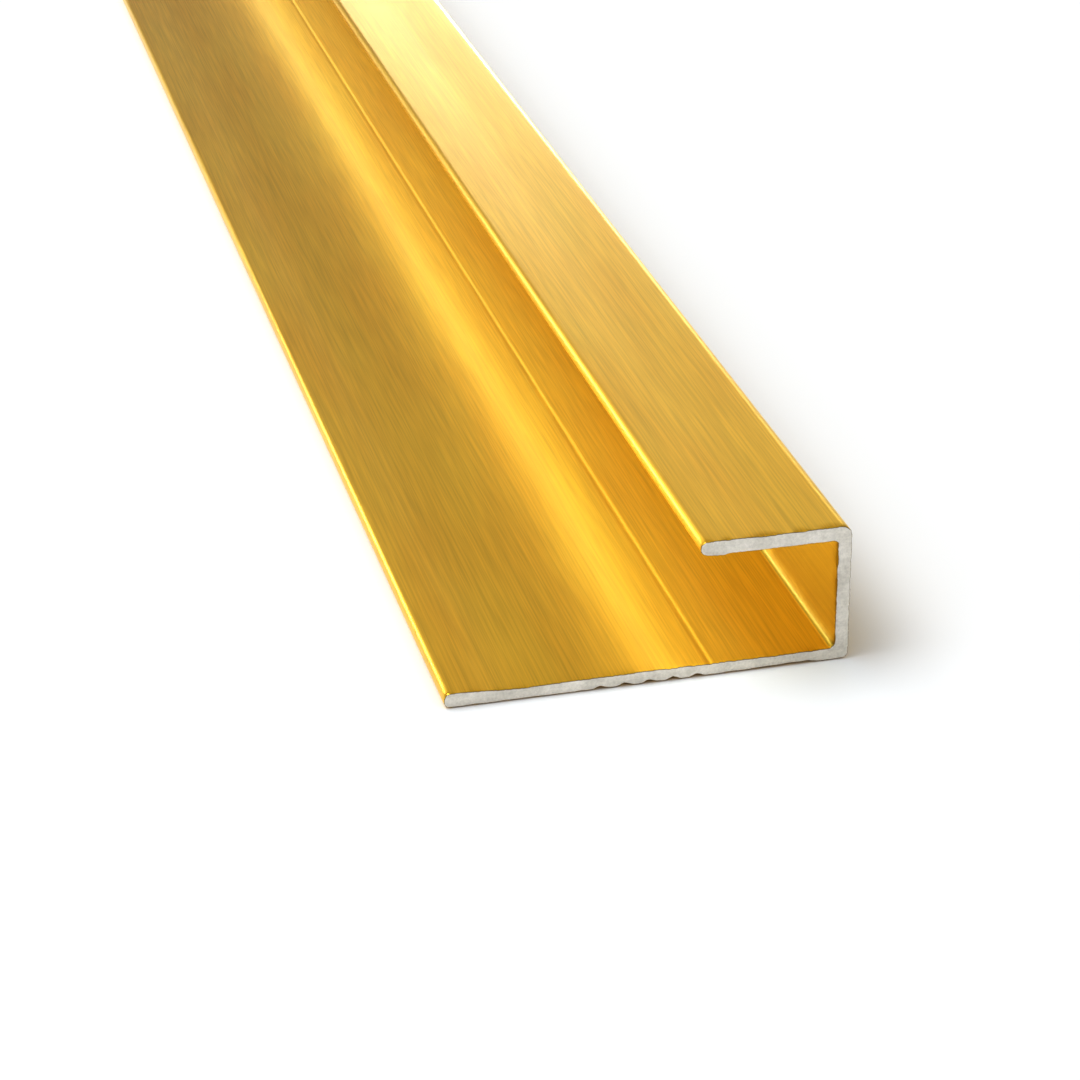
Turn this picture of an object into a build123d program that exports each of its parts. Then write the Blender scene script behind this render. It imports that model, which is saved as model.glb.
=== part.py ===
from build123d import *
import os

os.makedirs("parts", exist_ok=True)

# Edge profile for boards, extruded in one piece and cut square at both ends.
# A wide base lies on the floor, a web stands at its heel and a short lip turns back over it,
# so that the edge of a board slides in between the base and the lip.
# X runs across the section from the nose of the base to the web, Y along the stock, Z up.
# The origin lies at the middle of the underside. All sizes are in millimetres.

# Overall sizes
length = 900.0
width = 30.0
lip_width = 11.25

# Channel for the board
board_thickness = 8.0
board_clearance = 0.6

# Walls
base_wall = 0.92
web_wall = 1.06
lip_wall = 1.13

# Corners of the section
outer_top_radius = 0.78
outer_bottom_radius = 0.48
inner_top_radius = 0.3
inner_bottom_radius = 0.55

# Bead along the free edge of the base: a thicker flat, then a soft slope down to the wall
bead_rise = 0.2
bead_flat = 1.7
bead_slope = 2.6

# Share of the wall that each half of a rounded nose takes
base_nose_top_share = 0.56
base_nose_bottom_share = 0.4
lip_nose_top_share = 0.45
lip_nose_bottom_share = 0.53

# Guide groove in the base, just inside the nose of the lip
guide_inset = 0.82
guide_radius = 0.55
guide_depth = 0.06

# Underside: a flat towards the nose, glue grooves, a shallow hollow, and a pad under the heel
nose_flat = 10.5
groove_pitch = 1.8
groove_radius = 0.85
groove_depth = 0.2
groove_edge_radius = 0.25
hollow_width = 7.9
hollow_depth = 0.12
hollow_ramp = 0.8
heel_pad = 2.2

# Places worked out from the sizes above
channel_height = board_thickness + board_clearance
lip_under = base_wall + channel_height
height = lip_under + lip_wall
bead_top = base_wall + bead_rise
nose_x = -width / 2
web_outer = width / 2
web_inner = web_outer - web_wall
lip_nose = web_outer - lip_width
guide_x = lip_nose + guide_inset
hollow_end = web_outer - heel_pad
hollow_start = hollow_end - hollow_width
groove_zone = hollow_start - (nose_x + nose_flat)
groove_count = max(0, int(groove_zone // groove_pitch))
groove_places = [nose_x + nose_flat + groove_pitch * (i + 0.5) for i in range(groove_count)]


def wall_outline():
    """The base with its bead, the web and the lip, with square corners."""
    bead_end = (nose_x + bead_flat, bead_top)
    slope_end = (nose_x + bead_flat + bead_slope, base_wall)
    slope_mid = nose_x + bead_flat + bead_slope / 2
    with BuildSketch() as outline:
        with BuildLine():
            Polyline(
                bead_end,
                (nose_x, bead_top),
                (nose_x, 0),
                (web_outer, 0),
                (web_outer, height),
                (lip_nose, height),
                (lip_nose, lip_under),
                (web_inner, lip_under),
                (web_inner, base_wall),
                slope_end,
            )
            Bezier(slope_end, (slope_mid, base_wall), (slope_mid, bead_top), bead_end)
        make_face()
    return outline.sketch


def hollow_outline():
    """The shallow hollow under the channel, deepest beside the heel pad."""
    with BuildSketch() as outline:
        with BuildLine():
            Polyline(
                (hollow_start, 0),
                (hollow_end - hollow_ramp, hollow_depth),
                (hollow_end, 0),
                (hollow_end, -hollow_depth),
                (hollow_start, -hollow_depth),
                close=True,
            )
        make_face()
    return outline.sketch


def corner(sketch, x, z):
    """The corner of the section nearest to a place."""
    return sketch.vertices().sort_by_distance((x, z))[0]


def round_walls(sketch):
    """Rounds the corners of the section and the noses of the base and the lip."""
    roundings = (
        (nose_x, bead_top, base_nose_top_share * bead_top),
        (nose_x, 0, base_nose_bottom_share * bead_top),
        (lip_nose, height, lip_nose_top_share * lip_wall),
        (lip_nose, lip_under, lip_nose_bottom_share * lip_wall),
        (web_outer, height, outer_top_radius),
        (web_outer, 0, outer_bottom_radius),
        (web_inner, lip_under, inner_top_radius),
        (web_inner, base_wall, inner_bottom_radius),
    )
    for x, z, radius in roundings:
        fillet(corner(sketch, x, z), radius=radius)


def cut_glue_grooves(sketch):
    """Cuts the round glue grooves into the underside and softens their edges."""
    for x in groove_places:
        with Locations((x, groove_depth - groove_radius)):
            Circle(groove_radius, mode=Mode.SUBTRACT)
    reach = groove_pitch / 2
    for x in groove_places:
        edges = sketch.vertices().filter_by_position(Axis.X, x - reach, x + reach).group_by(Axis.Y)[0]
        fillet(edges, radius=groove_edge_radius)


with BuildPart() as edge_profile:
    with BuildSketch(Plane.XZ) as section:
        add(wall_outline())
        round_walls(section)
        with Locations((guide_x, base_wall + guide_radius - guide_depth)):
            Circle(guide_radius, mode=Mode.SUBTRACT)
        add(hollow_outline(), mode=Mode.SUBTRACT)
        cut_glue_grooves(section)
    extrude(amount=length / 2, both=True)

edge_profile.part.label = "edge_profile"
export_step(edge_profile.part, "parts/edge_profile.step")
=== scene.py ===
"""A length of J-shaped edge profile in brushed, gold anodised aluminium, lying on a pale studio floor."""
import math

import bmesh
import bpy
from mathutils import Matrix, Vector, noise


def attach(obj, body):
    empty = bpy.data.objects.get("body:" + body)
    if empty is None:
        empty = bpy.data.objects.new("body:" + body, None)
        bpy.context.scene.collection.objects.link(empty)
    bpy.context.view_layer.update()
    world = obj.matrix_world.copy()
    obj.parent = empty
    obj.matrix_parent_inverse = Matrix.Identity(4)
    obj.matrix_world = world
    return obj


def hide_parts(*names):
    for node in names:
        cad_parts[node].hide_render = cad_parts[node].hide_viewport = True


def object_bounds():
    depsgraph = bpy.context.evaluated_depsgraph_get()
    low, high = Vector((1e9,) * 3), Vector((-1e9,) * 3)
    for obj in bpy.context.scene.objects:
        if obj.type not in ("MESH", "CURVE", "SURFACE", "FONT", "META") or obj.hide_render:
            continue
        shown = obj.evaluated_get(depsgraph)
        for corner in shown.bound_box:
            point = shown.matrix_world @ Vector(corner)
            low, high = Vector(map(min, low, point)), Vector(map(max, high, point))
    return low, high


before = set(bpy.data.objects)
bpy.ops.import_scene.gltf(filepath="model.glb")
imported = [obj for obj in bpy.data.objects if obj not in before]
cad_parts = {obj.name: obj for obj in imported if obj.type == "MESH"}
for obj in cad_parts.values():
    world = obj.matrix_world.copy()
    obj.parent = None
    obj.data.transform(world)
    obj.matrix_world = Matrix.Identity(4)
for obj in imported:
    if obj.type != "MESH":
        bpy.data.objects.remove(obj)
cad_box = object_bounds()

bl_info = {
    "name": "Edge Profile Stock",
    "version": (1, 0, 0),
    "blender": (4, 5, 0),
    "location": "3D View > Sidebar > Edge Profile",
    "description": "Builds a length of brushed, gold anodised edge profile and the studio around it",
    "category": "Object",
}

MM = 0.001
NODE = "edge_profile"
PIECE = "edge_profile_metal"
BRUSH_MAP = "across_the_brushing"
ACROSS = "across"
OUTWARD = "outward"
# The points on the web and the lip inside the channel that get painted shade.
PAINTED_SHADE = "painted_shade"
CUT_EDGE = "cut_edge"
SAWN_SLOT = 1  # the material slot of the cuts, after the anodised skin's


def size(name, description, millimetres):
    """A length that a user can change, given here in millimetres and held in metres."""
    return bpy.props.FloatProperty(
        name=name, description=description, default=millimetres * MM, min=0.0, precision=5, unit="LENGTH"
    )


def number(name, description, value):
    """A plain number that a user can change."""
    return bpy.props.FloatProperty(name=name, description=description, default=value, min=0.0)


def angle(name, description, degrees):
    """An angle that a user can change, given here in degrees and held in radians."""
    return bpy.props.FloatProperty(
        name=name, description=description, default=math.radians(degrees), subtype="ANGLE"
    )


def linear(code):
    """A colour written as sRGB hex, such as "#f4c64c", as the linear values that Blender works in."""
    channels = [int(code[i : i + 2], 16) / 255 for i in (1, 3, 5)]
    return tuple(c / 12.92 if c <= 0.04045 else ((c + 0.055) / 1.055) ** 2.4 for c in channels)


def colour(name, description, code):
    """A colour that a user can change, given here as sRGB hex."""
    return bpy.props.FloatVectorProperty(
        name=name, description=description, default=linear(code), size=3, min=0.0, max=1.0, subtype="COLOR"
    )


class ProfileSizes(bpy.types.PropertyGroup):
    """Sizes of the section, measured from the nose of the base, and of the sawn ends."""

    width: size("Width", "Overall width of the base, from its nose to the back of the web", 30.0)
    lip_width: size("Lip width", "From the nose of the lip to the back of the web", 11.25)
    channel_height: size("Channel height", "Clear height between the base and the lip", 8.6)
    base_wall: size("Base wall", "Thickness of the base", 0.92)
    web_wall: size("Web wall", "Thickness of the web", 1.06)
    lip_wall: size("Lip wall", "Thickness of the lip", 1.13)
    bead_rise: size("Bead rise", "How far the bead along the nose stands above the base", 0.2)
    bead_flat: size("Bead flat", "Width of the bead along the nose of the base", 1.7)
    bead_slope: size("Bead slope", "Width of the slope from the bead down to the base", 2.6)
    outer_top_radius: size("Outer top radius", "Rounding where the web turns into the lip", 0.78)
    outer_bottom_radius: size("Outer bottom radius", "Rounding of the heel under the web", 0.48)
    inner_top_radius: size("Inner top radius", "Rounding inside the channel under the lip", 0.3)
    inner_bottom_radius: size("Inner bottom radius", "Rounding in the channel at the foot of the web", 0.55)
    guide_inset: size("Guide inset", "From the nose of the lip in to the guide groove in the base", 0.82)
    guide_width: size("Guide width", "Width of the guide groove", 0.56)
    guide_depth: size("Guide depth", "Depth of the guide groove", 0.05)
    nose_flat: size("Nose flat", "Flat of the underside, from the nose to the glue grooves", 10.5)
    groove_pitch: size("Groove pitch", "From one glue groove to the next", 1.8)
    groove_width: size("Groove width", "Width of a glue groove, with its soft edges", 1.27)
    groove_depth: size("Groove depth", "Depth of the glue grooves", 0.2)
    hollow_width: size("Hollow width", "Width of the shallow hollow under the channel", 7.9)
    hollow_depth: size("Hollow depth", "Depth of the shallow hollow, beside the heel", 0.12)
    hollow_ramp: size("Hollow ramp", "Width of the hollow's short ramp up to the heel pad", 0.8)
    heel_pad: size("Heel pad", "Width of the pad that the heel stands on", 2.2)
    die_wave: size("Die wave", "How far the long flats are guessed to stray from true", 0.045)
    edge_break: size("Edge break", "How far the sharp edge of the cut is broken", 0.05)
    burr: size("Burr", "How far the burr hangs under the lip, beside its nose, at the near cut", 0.07)
    raggedness: size("Raggedness", "How far the edge of the cut wanders where the saw has torn it", 0.08)


class FinishColours(bpy.types.PropertyGroup):
    """Colours of the anodised skin, the bare metal and the floor."""

    gold: colour("Gold", "Dyed anodised skin", "#f7cf57")
    gold_deep: colour("Deep gold", "Where the skin has taken up more dye", "#f5c750")
    # Painted shade: a darker gold on the web and the lip inside the channel, for the shade there.
    gold_painted_shade: colour(
        "Painted shade gold", "Web and lip inside the channel, darkened with painted shade", "#bca54b"
    )
    bare: colour("Bare metal", "Aluminium that the saw has laid bare", "#faf6ee")
    bare_dark: colour("Dull bare metal", "Where the saw has smeared the bare metal", "#e6e2d9")
    dark_cut_line: colour("Dark cut line", "A thin dark line round the edge of each cut", "#6a5231")
    floor: colour("Floor", "Pale studio floor", "#f4f6f8")


class StudioSettings(bpy.types.PropertyGroup):
    """The camera that takes the picture from above the near end, and the soft light all round."""

    camera_x: bpy.props.FloatProperty(
        name="Camera X", description="Camera, across the stock", default=-53.79 * MM, unit="LENGTH"
    )
    camera_back: size("Camera back", "Camera, this far in front of the near cut", 189.69)
    camera_height: size("Camera height", "Camera, above the floor", 106.86)
    heading: angle("Heading", "How far the camera looks to the right of straight along the stock", 13.60)
    pitch: angle("Pitch", "How far the camera looks down", 25.84)
    roll: angle("Roll", "How far the camera is turned about its line of sight", -0.62)
    lens: number("Lens", "Focal length in millimetres, on a 36 mm sensor", 104.27)
    sky: number("Sky", "Strength of the soft light all round", 0.29)


# The piece

ARC_STEPS = 10  # steps round each corner
OUTLINE_STEP = 0.13 * MM  # the longest step along a straight run of the outline
LENGTH_SPANS = 6  # along the stock
END_RINGS = (0.05 * MM, 0.12 * MM, 0.3 * MM, 1.0 * MM)  # closer rings, in from each cut
WEAR_REACH = END_RINGS[2]  # how far in from a cut its wear and its burr reach
ON_FLAT = 1e-7  # a point this near a flat, in metres, lies on it
SHARP_ANGLE = 0.7  # in radians, from which an edge is drawn sharp

# How round the noses and the bead's slope are, as shares of their height or width.
BASE_NOSE_UPPER = 0.56
BASE_NOSE_LOWER = 0.4
LIP_NOSE_UPPER = 0.45
LIP_NOSE_LOWER = 0.53
BEAD_SOFTNESS = 0.48

# Where the painted shade starts above the base, as a share of the rounding at the foot of the web.
PAINTED_SHADE_FOOT = 0.1

# Wear at the edge of a cut: its mean, and the size and share of its fine and its coarse part.
WEAR_MEAN = 0.2
FINE_WEAR, FINE_SHARE = 0.21 * MM, 0.55
COARSE_WEAR, COARSE_SHARE = 1.1 * MM, 0.7

# The burr's middle, from the nose of the base, its width, and how near the lip's underside a point has to be
# to hang with it.
BURR_PLACE = 20.3 * MM
BURR_WIDTH = 2.2 * MM
BURR_BAND = 0.2 * MM

# The long flats are drawn a little wavy. This is a guess at what makes the faint stripes along them. Each
# wave has its middle and width, in millimetres from the nose of the base, and its height as a share of the
# die wave.
BASE_WAVES = ((6.0, 7.4, -1.0), (15.4, 9.0, 0.7), (24.6, 5.6, -0.6))
LIP_WAVES = ((24.6, 9.6, -1.0),)


def section_corners(s):
    """Each corner of the section in order round it, as x, z and rounding."""
    nose = -s.width / 2
    heel = s.width / 2
    web_inner = heel - s.web_wall
    lip_nose = heel - s.lip_width
    lip_under = s.base_wall + s.channel_height
    top = lip_under + s.lip_wall
    bead_top = s.base_wall + s.bead_rise
    soft = BEAD_SOFTNESS * s.bead_slope
    return (
        (nose, 0.0, BASE_NOSE_LOWER * bead_top),
        (heel, 0.0, s.outer_bottom_radius),
        (heel, top, s.outer_top_radius),
        (lip_nose, top, LIP_NOSE_UPPER * s.lip_wall),
        (lip_nose, lip_under, LIP_NOSE_LOWER * s.lip_wall),
        (web_inner, lip_under, s.inner_top_radius),
        (web_inner, s.base_wall, s.inner_bottom_radius),
        (nose + s.bead_flat + s.bead_slope, s.base_wall, soft),
        (nose + s.bead_flat, bead_top, soft),
        (nose, bead_top, BASE_NOSE_UPPER * bead_top),
    )


def lay_out_section(bm, s, near):
    """Fills the section at the near cut, rounds its corners and divides its straight runs."""
    corners = section_corners(s)
    verts = [bm.verts.new((x, near, z)) for x, z, _ in corners]
    bm.faces.new(verts)
    for vert, (_, _, rounding) in zip(verts, corners):
        bmesh.ops.bevel(
            bm, geom=[vert], offset=rounding, offset_type="OFFSET", segments=ARC_STEPS,
            profile=0.5, affect="VERTICES", material=-1, clamp_overlap=False,
        )
    for edge in list(bm.edges):
        cuts = math.ceil(edge.calc_length() / OUTLINE_STEP) - 1
        if cuts > 0:
            bmesh.ops.subdivide_edges(bm, edges=[edge], cuts=cuts)


def soft_dip(offset, width):
    """A round dip, 1 in its middle and 0 at its edges."""
    share = abs(offset) / (width / 2)
    return 0.5 + 0.5 * math.cos(math.pi * share) if share < 1 else 0.0


def underside_height(s, x):
    """How far the underside is cut away at x: glue grooves, then the shallow hollow up to the heel pad."""
    hollow_end = s.width / 2 - s.heel_pad
    hollow_start = hollow_end - s.hollow_width
    first = -s.width / 2 + s.nose_flat
    count = max(0, int((hollow_start - first) // s.groove_pitch))
    height = 0.0
    for i in range(count):
        height += s.groove_depth * soft_dip(x - first - s.groove_pitch * (i + 0.5), s.groove_width)
    deepest = hollow_end - s.hollow_ramp
    if hollow_start < x < deepest:
        height += s.hollow_depth * (x - hollow_start) / (deepest - hollow_start)
    elif deepest <= x < hollow_end:
        height += s.hollow_depth * (hollow_end - x) / s.hollow_ramp
    return height


def wave_height(s, x, waves):
    """How far the die waves stand above the true flat at x."""
    way = x + s.width / 2
    return s.die_wave * sum(share * soft_dip(way - middle * MM, width * MM) for middle, width, share in waves)


def cut_relief(bm, s):
    """Moves the outline's points into the glue grooves, the hollow, the guide groove and the die waves."""
    guide = s.width / 2 - s.lip_width + s.guide_inset
    reach = s.width / 2 - s.web_wall - s.inner_bottom_radius
    top = s.base_wall + s.channel_height + s.lip_wall
    for vert in bm.verts:
        x, z = vert.co.x, vert.co.z
        if z < ON_FLAT:
            vert.co.z += underside_height(s, x)
        elif abs(z - s.base_wall) < 0.5 * s.bead_rise and x < reach:
            vert.co.z += wave_height(s, x, BASE_WAVES) - s.guide_depth * soft_dip(x - guide, s.guide_width)
        elif abs(z - top) < ON_FLAT:
            vert.co.z += wave_height(s, x, LIP_WAVES)


def measure_outline(bm):
    """Notes on each point its way round the outline and which way is out, and returns the whole way round."""
    across, outward = bm.verts.layers.float[ACROSS], bm.verts.layers.float_vector[OUTWARD]
    face = bm.faces[:][0]
    face.normal_update()
    way = 0.0
    for loop in face.loops:
        before, after = loop.link_loop_prev.vert.co, loop.link_loop_next.vert.co
        loop.vert[across] = way
        loop.vert[outward] = (after - before).cross(face.normal).normalized()
        way += loop.edge.calc_length()
    return way


def draw_out(bm, near, far):
    """Draws the section out along the stock, with closer rings beside each cut."""
    inner = [near + (far - near) * i / LENGTH_SPANS for i in range(1, LENGTH_SPANS)]
    stations = [near + r for r in END_RINGS] + inner + [far - r for r in reversed(END_RINGS)] + [far]
    face = bm.faces[:][0]
    for station in stations:
        left_inside = [] if station == stations[0] else [face]
        step = station - face.verts[0].co.y
        made = bmesh.ops.extrude_face_region(bm, geom=[face])["geom"]
        verts = [g for g in made if isinstance(g, bmesh.types.BMVert)]
        bmesh.ops.translate(bm, verts=verts, vec=(0, step, 0))
        face = next(g for g in made if isinstance(g, bmesh.types.BMFace))
        bmesh.ops.delete(bm, geom=left_inside, context="FACES_ONLY")


def tear_edges(bm, s, near, far):
    """Wears the skin in a little where the saw has torn it, less with each ring away from the cut."""
    outward = bm.verts.layers.float_vector[OUTWARD]
    for vert in bm.verts:
        depth = min(vert.co.y - near, far - vert.co.y)
        fade = max(0.0, 1.0 - depth / WEAR_REACH)
        if fade > 0:
            place = Vector((vert.co.x, vert.co.z, math.copysign(1.0, vert.co.y)))
            fine = FINE_SHARE * noise.noise(place / FINE_WEAR)
            coarse = COARSE_SHARE * noise.noise(place / COARSE_WEAR)
            wear = max(0.0, WEAR_MEAN + fine + coarse)
            vert.co -= vert[outward] * (s.raggedness * wear * fade**2)


def hang_burr(bm, s, near):
    """Leaves a burr hanging under the lip at the near cut, where the saw came out."""
    middle = -s.width / 2 + BURR_PLACE
    roof = s.base_wall + s.channel_height
    for vert in bm.verts:
        fade = max(0.0, 1.0 - (vert.co.y - near) / WEAR_REACH)
        if fade > 0 and abs(vert.co.z - roof) < BURR_BAND:
            vert.co.z -= s.burr * soft_dip(vert.co.x - middle, BURR_WIDTH) * fade


def finish_cuts(bm, s):
    """Breaks the sharp edge of each sawn end, and gives the end its bare metal."""
    edge = bm.verts.layers.float[CUT_EDGE]
    # Only the two ends have more than four corners.
    for cap in [f for f in bm.faces if len(f.verts) > 4]:
        rings = bmesh.ops.inset_region(
            bm, faces=[cap], thickness=s.edge_break, depth=s.edge_break, use_even_offset=True
        )["faces"]
        for vert in {v for face in rings for v in face.verts} - set(cap.verts):
            vert[edge] = 1.0
        for face in [cap, *rings]:
            face.material_index = SAWN_SLOT


def mark_painted_shade(bm, s):
    """Notes which points are on the web and the lip inside the channel, which get painted shade, a darker
    gold.
    """
    painted_shade = bm.verts.layers.float[PAINTED_SHADE]
    foot = s.base_wall + PAINTED_SHADE_FOOT * s.inner_bottom_radius
    roof = s.base_wall + s.channel_height
    back = s.width / 2 - s.web_wall
    nose = s.width / 2 - s.lip_width + LIP_NOSE_LOWER * s.lip_wall
    mid_web, mid_lip = back + s.web_wall / 2, roof + s.lip_wall / 2
    for vert in bm.verts:
        x, z = vert.co.x, vert.co.z
        on_web = foot < z < roof and back - s.inner_bottom_radius < x < mid_web
        on_roof = nose < x < mid_web and roof - s.inner_top_radius < z < mid_lip
        vert[painted_shade] = float(on_web or on_roof)


def lay_brush_map(bm, way_round):
    """Lays out the map that says which way the brushing runs: U goes round the section and V along it."""
    across = bm.verts.layers.float[ACROSS]
    uv = bm.loops.layers.uv[BRUSH_MAP]
    for face in bm.faces:
        if face.material_index == SAWN_SLOT:
            for loop in face.loops:
                loop[uv].uv = (loop.vert.co.x, loop.vert.co.z)
            continue
        ways = [loop.vert[across] for loop in face.loops]
        wraps = max(ways) - min(ways) > way_round / 2
        for loop, way in zip(face.loops, ways):
            loop[uv].uv = (way + way_round if wraps and way < way_round / 2 else way, loop.vert.co.y)


def build_metal(s):
    """The whole length of profile as one closed mesh."""
    lo, hi = cad_box
    near, far = lo.y + s.edge_break, hi.y - s.edge_break
    bm = bmesh.new()
    for name in (ACROSS, PAINTED_SHADE, CUT_EDGE):
        bm.verts.layers.float.new(name)
    bm.verts.layers.float_vector.new(OUTWARD)
    bm.loops.layers.uv.new(BRUSH_MAP)
    lay_out_section(bm, s, near)
    cut_relief(bm, s)
    way_round = measure_outline(bm)
    draw_out(bm, near, far)
    bmesh.ops.recalc_face_normals(bm, faces=bm.faces)
    tear_edges(bm, s, near, far)
    hang_burr(bm, s, near)
    finish_cuts(bm, s)
    mark_painted_shade(bm, s)
    lay_brush_map(bm, way_round)
    for face in bm.faces:
        face.smooth = True
    for edge in bm.edges:
        one_finish = len({f.material_index for f in edge.link_faces}) == 1
        edge.smooth = one_finish and edge.calc_face_angle(0) < SHARP_ANGLE
    mesh = bpy.data.meshes.new(PIECE)
    bm.to_mesh(mesh)
    bm.free()
    return mesh


# Materials

# A noise keeps mostly to its middle, so its patterns are read between these two values.
NOISE_RANGE = {"From Min": 0.3, "From Max": 0.7}
MIX_COLOURS = {"data_type": "RGBA", "blend_type": "MIX"}
MULTIPLY_COLOURS = {"data_type": "RGBA", "blend_type": "MULTIPLY"}
MIXED = 2  # the Mix node's output for colours


def add_node(tree, kind, settings=None, inputs=None):
    """Adds a node, sets its properties and fills its inputs, each known by its identifier: a socket is linked
    and any other value is set."""
    node = tree.nodes.new(kind)
    for name, value in (settings or {}).items():
        setattr(node, name, value)
    entries = {entry.identifier: entry for entry in node.inputs}
    for name, value in (inputs or {}).items():
        if isinstance(value, bpy.types.NodeSocket):
            tree.links.new(value, entries[name])
        else:
            entries[name].default_value = value
    return node


def new_material(name):
    """A material and its node tree, still empty."""
    material = bpy.data.materials.new(name)
    material.use_nodes = True
    material.node_tree.nodes.clear()
    return material, material.node_tree


def streaks(tree, place, across, along, detail):
    """Noise drawn out along the stock. Its streaks are this many millimetres wide and long."""
    stretch = (1 / (across * MM), 1 / (along * MM), 1 / (across * MM))
    mapping = add_node(tree, "ShaderNodeMapping", None, {"Vector": place, "Scale": stretch})
    return add_node(
        tree, "ShaderNodeTexNoise", None,
        {"Vector": mapping.outputs["Vector"], "Scale": 1.0, "Detail": detail, "Roughness": 0.55},
    ).outputs["Fac"]


def shade_metal(tree, metal, shades):
    """Lightens and darkens a metal's colour by each pattern, from its low to its high share."""
    for pattern, low, high in shades:
        shade = add_node(
            tree, "ShaderNodeMapRange", None, {"Value": pattern, **NOISE_RANGE, "To Min": low, "To Max": high}
        ).outputs["Result"]
        metal = add_node(
            tree, "ShaderNodeMix", MULTIPLY_COLOURS, {"Factor_Float": 1.0, "A_Color": metal, "B_Color": shade}
        ).outputs[MIXED]
    return metal


def relieve(tree, reliefs):
    """Raises each pattern in turn by its strength and its depth in millimetres, and returns the normal."""
    normal = {}
    for pattern, strength, depth in reliefs:
        bump = add_node(
            tree, "ShaderNodeBump", None,
            {"Strength": strength, "Distance": depth * MM, "Height": pattern, **normal},
        )
        normal = {"Normal": bump.outputs["Normal"]}
    return normal["Normal"]


def anodised_gold(colours):
    """Brushed and gold anodised aluminium: metal seen through a clear, dyed oxide film. The brushing's
    hairlines spread each highlight across the stock and keep it sharp along it, and the film adds a thin,
    paler gloss that grows as the surface is seen more edge on."""
    material, tree = new_material("brushed_gold_anodised_aluminium")
    place = add_node(tree, "ShaderNodeTexCoord").outputs["Object"]
    # Brushing leaves hairlines about 0.05 mm wide. They are drawn 0.13 mm wide, so that they show.
    hairlines = streaks(tree, place, across=0.13, along=9.0, detail=1.0)
    scratches = streaks(tree, place, across=0.42, along=34.0, detail=3.0)
    die_lines = streaks(tree, place, across=1.7, along=500.0, detail=2.0)
    dye_drift = streaks(tree, place, across=5.0, along=26.0, detail=2.0)
    drift = add_node(tree, "ShaderNodeMapRange", None, {"Value": dye_drift, **NOISE_RANGE}).outputs["Result"]
    dyed = add_node(
        tree, "ShaderNodeMix", MIX_COLOURS,
        {"Factor_Float": drift, "A_Color": (*colours.gold, 1.0), "B_Color": (*colours.gold_deep, 1.0)},
    ).outputs[MIXED]
    # Painted shade: the web and the lip inside the channel turn to the darker gold.
    painted_shade = add_node(tree, "ShaderNodeAttribute", {"attribute_name": PAINTED_SHADE}).outputs["Fac"]
    dyed = add_node(
        tree, "ShaderNodeMix", MIX_COLOURS,
        {"Factor_Float": painted_shade, "A_Color": dyed, "B_Color": (*colours.gold_painted_shade, 1.0)},
    ).outputs[MIXED]
    dyed = shade_metal(tree, dyed, ((hairlines, 0.9, 1.05), (scratches, 0.95, 1.03)))
    normal = relieve(tree, ((hairlines, 1.0, 0.0012), (scratches, 1.0, 0.0012), (die_lines, 1.0, 0.004)))
    tangent = add_node(tree, "ShaderNodeTangent", {"direction_type": "UV_MAP", "uv_map": BRUSH_MAP})
    shader = add_node(
        tree, "ShaderNodeBsdfPrincipled", None,
        {
            "Base Color": dyed, "Metallic": 1.0, "Roughness": 0.3,
            "Anisotropic": 0.8, "Tangent": tangent.outputs["Tangent"], "Normal": normal,
            "Coat Weight": 0.15, "Coat Roughness": 0.2, "Coat IOR": 1.6,
        },
    )
    add_node(tree, "ShaderNodeOutputMaterial", None, {"Surface": shader.outputs["BSDF"]})
    return material


SAWN_GRAIN = 0.16 * MM
SAWN_SMEAR = 1.4 * MM
# The teeth leave marks about 0.1 mm apart. They are drawn 0.3 mm apart, so that they show.
TEETH_APART = 0.3 * MM
TEETH_LENGTH = 2.5 * MM
TEETH_LEAN = math.radians(24)


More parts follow.
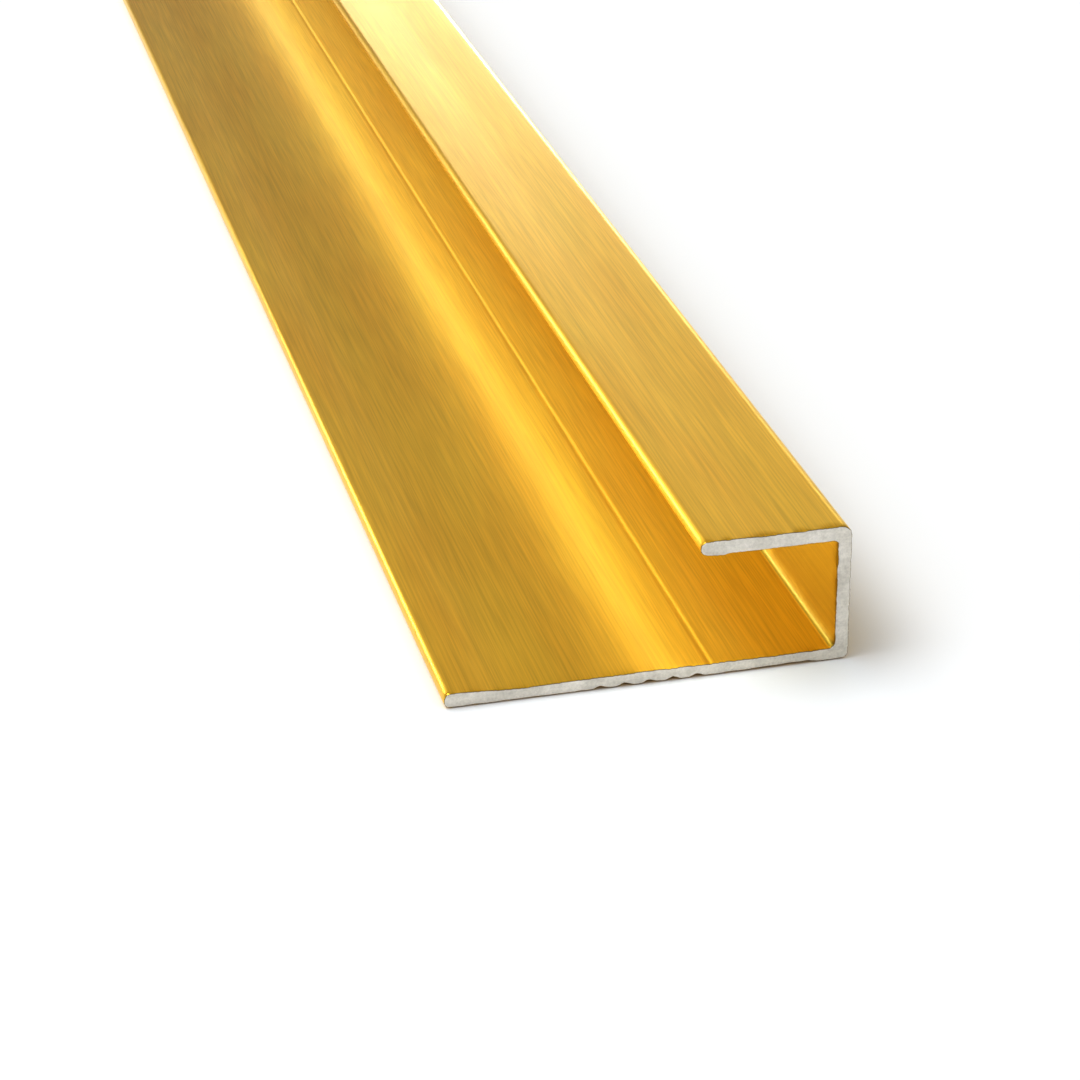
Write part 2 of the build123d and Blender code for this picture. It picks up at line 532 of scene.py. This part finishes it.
def sawn_aluminium(colours):
    """Bare aluminium as a fine saw leaves it: pale and dull, with faint marks of the teeth, a grainy smear of
    lighter and darker metal, and a thin dark line round the edge of the cut."""
    material, tree = new_material("sawn_bare_aluminium")
    place = add_node(tree, "ShaderNodeTexCoord").outputs["Object"]
    grain = add_node(
        tree, "ShaderNodeTexNoise", None,
        {"Vector": place, "Scale": 1 / SAWN_GRAIN, "Detail": 4.0, "Roughness": 0.65},
    ).outputs["Fac"]
    smear = add_node(
        tree, "ShaderNodeTexNoise", None,
        {"Vector": place, "Scale": 1 / SAWN_SMEAR, "Detail": 3.0, "Roughness": 0.6},
    ).outputs["Fac"]
    stretch = (1 / TEETH_LENGTH, 1.0, 1 / TEETH_APART)
    leaning = add_node(
        tree, "ShaderNodeMapping", None,
        {"Vector": place, "Rotation": (0.0, TEETH_LEAN, 0.0), "Scale": stretch},
    ).outputs["Vector"]
    teeth = add_node(
        tree, "ShaderNodeTexNoise", None, {"Vector": leaning, "Scale": 1.0, "Detail": 2.0, "Roughness": 0.5}
    ).outputs["Fac"]
    smeared = add_node(tree, "ShaderNodeMapRange", None, {"Value": smear, **NOISE_RANGE}).outputs["Result"]
    metal = add_node(
        tree, "ShaderNodeMix", MIX_COLOURS,
        {"Factor_Float": smeared, "A_Color": (*colours.bare_dark, 1.0), "B_Color": (*colours.bare, 1.0)},
    ).outputs[MIXED]
    metal = shade_metal(tree, metal, ((grain, 0.86, 1.0), (teeth, 0.93, 1.0)))
    # The broken edge of the cut gets a thin dark line.
    edge = add_node(tree, "ShaderNodeAttribute", {"attribute_name": CUT_EDGE}).outputs["Fac"]
    metal = add_node(
        tree, "ShaderNodeMix", MIX_COLOURS,
        {"Factor_Float": edge, "A_Color": metal, "B_Color": (*colours.dark_cut_line, 1.0)},
    ).outputs[MIXED]
    normal = relieve(tree, ((grain, 0.5, 0.01), (teeth, 0.5, 0.015)))
    shader = add_node(
        tree, "ShaderNodeBsdfPrincipled", None,
        {"Base Color": metal, "Metallic": 1.0, "Roughness": 0.6, "Normal": normal},
    )
    add_node(tree, "ShaderNodeOutputMaterial", None, {"Surface": shader.outputs["BSDF"]})
    return material


def studio_paper(colours):
    """The matt, pale paper of the studio floor."""
    material, tree = new_material("pale_studio_paper")
    shader = add_node(tree, "ShaderNodeBsdfDiffuse", None, {"Color": (*colours.floor, 1.0)})
    add_node(tree, "ShaderNodeOutputMaterial", None, {"Surface": shader.outputs["BSDF"]})
    return material


# The stage

WHITE = (1.0, 1.0, 1.0, 1.0)
BACKDROP = 1.2  # how bright the white backdrop behind the floor looks
FLOOR_REACH = 2.7  # metres from its middle to its sides
FLOOR_GAP = 0.05 * MM  # stock never lies quite flat on a floor
SENSOR_WIDTH = 36.0  # millimetres
CAMERA_CLIP = (0.01, 50.0)  # the nearest and the farthest that the camera sees, in metres
SOFTBOX_DISTANCE = 3.0  # metres from the near end of the stock
# Each softbox has its name, the direction it shines from, as degrees to the right of straight behind the
# stock and degrees above the floor, how wide and how high it looks in degrees, and its brightness.
SOFTBOXES = (
    ("low_back_right", 20.0, 8.0, 10.0, 9.0, 1.85),
    ("lower_right", 18.0, 8.5, 5.0, 3.0, 1.2),
    ("low_right", 20.5, 11.5, 6.0, 3.5, 0.9),
    ("middle_right", 26.0, 17.5, 8.0, 6.0, 1.5),
    ("horizon_right", 13.0, 2.6, 12.0, 4.0, 32.0),
    ("higher_back", -10.0, 31.0, 26.0, 9.0, 0.5),
    ("low_back_left", -21.0, 9.0, 14.0, 9.0, 0.2),
    ("nose_highlight", -27.0, 11.0, 7.0, 10.0, 4.5),
    ("nose_glow", -18.0, 22.0, 7.0, 8.0, 1.6),
    ("left", -90.0, 35.0, 60.0, 50.0, 0.37),
    ("left_high", -60.0, 60.0, 50.0, 30.0, 2.15),
    ("front_left", -150.0, 40.0, 60.0, 40.0, 0.3),
    ("front_right", 140.0, 40.0, 50.0, 40.0, 0.2),
)
# Thin lights tucked under the lip, with the strip each one covers, in millimetres from the nose of the base,
# and its brightness. They copy nothing real. Without them the base's bright band came out too dark and too
# orange, and why isn't known.
LIP_LIGHTS = (
    ("under_lip_nose", 19.2, 21.2, 1.4),
    ("under_lip_middle", 21.2, 24.6, 0.19),
    ("under_lip_back", 24.6, 28.6, 0.38),
)
LIP_LIGHT_GAP = 0.02 * MM
LIP_LIGHT_COLOUR = "#f2fff0"


def direction(right, above):
    """The unit vector this far to the right of straight along the stock and this far above level."""
    level = math.cos(above)
    return Vector((math.sin(right) * level, math.cos(right) * level, math.sin(above)))


def add_object(name, data):
    """Links a new object that holds the data."""
    made = bpy.data.objects.new(name, data)
    bpy.context.scene.collection.objects.link(made)
    return made


def lay_floor(colours):
    """A wide, level floor just under the stock."""
    bm = bmesh.new()
    bmesh.ops.create_grid(bm, x_segments=1, y_segments=1, size=FLOOR_REACH)
    bmesh.ops.translate(bm, verts=bm.verts, vec=(0, 0, -FLOOR_GAP))
    mesh = bpy.data.meshes.new("studio_floor")
    bm.to_mesh(mesh)
    bm.free()
    mesh.materials.append(studio_paper(colours))
    floor = add_object("studio_floor", mesh)


def place_camera(studio):
    """The camera where the picture was taken from, above and in front of the near cut."""
    heading, roll = studio.heading, studio.roll
    ahead = direction(heading, -studio.pitch)
    right = Vector((math.cos(heading), -math.sin(heading), 0.0))
    up = right.cross(ahead)
    across = math.cos(roll) * right + math.sin(roll) * up
    upright = math.cos(roll) * up - math.sin(roll) * right
    turn = Matrix((across, upright, -ahead)).transposed()
    data = bpy.data.cameras.new("studio_camera")
    data.lens = studio.lens
    data.sensor_width = SENSOR_WIDTH
    data.clip_start, data.clip_end = CAMERA_CLIP
    camera = add_object("studio_camera", data)
    near = cad_box[0].y
    place = Vector((studio.camera_x, near - studio.camera_back, studio.camera_height))
    camera.matrix_world = Matrix.Translation(place) @ turn.to_4x4()
    bpy.context.scene.camera = camera


def add_lamp(name, wide, high, brightness):
    """A rectangular soft light, this wide and high in metres and this bright, that the camera doesn't see."""
    data = bpy.data.lights.new(name, "AREA")
    data.shape = "RECTANGLE"
    data.size = wide
    data.size_y = high
    data.energy = brightness * math.pi * data.size * data.size_y
    lamp = add_object(name, data)
    lamp.visible_camera = False
    return lamp


def add_softbox(name, right, above, wide, high, brightness):
    """A softbox that faces the near end of the stock and looks this wide and high from there."""
    wide, high = (2 * SOFTBOX_DISTANCE * math.tan(math.radians(a) / 2) for a in (wide, high))
    lamp = add_lamp(name, wide, high, brightness)
    way = direction(math.radians(right), math.radians(above))
    target = Vector((0.0, cad_box[0].y, 0.0))
    turn = way.to_track_quat("Z", "Y").to_matrix().to_4x4()
    lamp.matrix_world = Matrix.Translation(target + SOFTBOX_DISTANCE * way) @ turn


def add_lip_light(s, name, start, end, brightness):
    """A thin light just under the lip, the whole length of the stock, that shines down on the base."""
    lamp = add_lamp(name, (end - start) * MM, cad_box[1].y - cad_box[0].y, brightness)
    lamp.data.color = linear(LIP_LIGHT_COLOUR)
    height = s.base_wall + s.channel_height - LIP_LIGHT_GAP
    lamp.location = ((start + end) / 2 * MM - s.width / 2, 0.0, height)


def light_studio(studio):
    """Soft white light all round, a white backdrop that only the camera sees, softboxes behind, to the left
    and in front, and thin lights under the lip."""
    scene = bpy.context.scene
    scene.view_settings.view_transform = "Standard"
    scene.view_settings.look = "Very High Contrast"
    world = bpy.data.worlds.new("studio_light")
    scene.world = world
    world.use_nodes = True
    tree = world.node_tree
    tree.nodes.clear()
    around = add_node(tree, "ShaderNodeBackground", None, {"Color": WHITE, "Strength": studio.sky})
    backdrop = add_node(tree, "ShaderNodeBackground", None, {"Color": WHITE, "Strength": BACKDROP})
    seen = add_node(tree, "ShaderNodeLightPath").outputs["Is Camera Ray"]
    mixed = add_node(
        tree, "ShaderNodeMixShader", None,
        {"Fac": seen, "Shader": around.outputs["Background"], "Shader_001": backdrop.outputs["Background"]},
    )
    add_node(tree, "ShaderNodeOutputWorld", None, {"Surface": mixed.outputs["Shader"]})
    for softbox in SOFTBOXES:
        add_softbox(*softbox)
    for lip_light in LIP_LIGHTS:
        add_lip_light(scene.profile_sizes, *lip_light)


class OBJECT_OT_edge_profile_metal(bpy.types.Operator):
    """Build the length of edge profile in place of the plain CAD solid"""

    bl_idname = "object.edge_profile_metal"
    bl_label = "Edge Profile Metal"

    def execute(self, context):
        scene = context.scene
        mesh = build_metal(scene.profile_sizes)
        mesh.materials.append(anodised_gold(scene.finish_colours))
        mesh.materials.append(sawn_aluminium(scene.finish_colours))
        piece = add_object(PIECE, mesh)
        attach(piece, "root")
        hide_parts(NODE)
        return {"FINISHED"}


class SCENE_OT_edge_profile_studio(bpy.types.Operator):
    """Set up the pale floor, the soft lights and the camera"""

    bl_idname = "scene.edge_profile_studio"
    bl_label = "Edge Profile Studio"

    def execute(self, context):
        scene = context.scene
        lay_floor(scene.finish_colours)
        light_studio(scene.studio_settings)
        place_camera(scene.studio_settings)
        return {"FINISHED"}


class VIEW3D_PT_edge_profile(bpy.types.Panel):
    """Lists what the add-on builds, and the values it builds from"""

    bl_label = "Edge Profile"
    bl_space_type = "VIEW_3D"
    bl_region_type = "UI"
    bl_category = "Edge Profile"

    def draw(self, context):
        scene = context.scene
        self.layout.operator(OBJECT_OT_edge_profile_metal.bl_idname)
        self.layout.operator(SCENE_OT_edge_profile_studio.bl_idname)
        for group in (scene.profile_sizes, scene.finish_colours, scene.studio_settings):
            box = self.layout.box()
            for name in group.__annotations__:
                box.prop(group, name)


CLASSES = (
    ProfileSizes,
    FinishColours,
    StudioSettings,
    OBJECT_OT_edge_profile_metal,
    SCENE_OT_edge_profile_studio,
    VIEW3D_PT_edge_profile,
)


def register():
    for cls in CLASSES:
        bpy.utils.register_class(cls)
    bpy.types.Scene.profile_sizes = bpy.props.PointerProperty(type=ProfileSizes)
    bpy.types.Scene.finish_colours = bpy.props.PointerProperty(type=FinishColours)
    bpy.types.Scene.studio_settings = bpy.props.PointerProperty(type=StudioSettings)


def unregister():
    del bpy.types.Scene.studio_settings
    del bpy.types.Scene.finish_colours
    del bpy.types.Scene.profile_sizes
    for cls in reversed(CLASSES):
        bpy.utils.unregister_class(cls)


def main():
    register()
    bpy.ops.object.edge_profile_metal()
    bpy.ops.scene.edge_profile_studio()


if __name__ == "__main__":
    main()
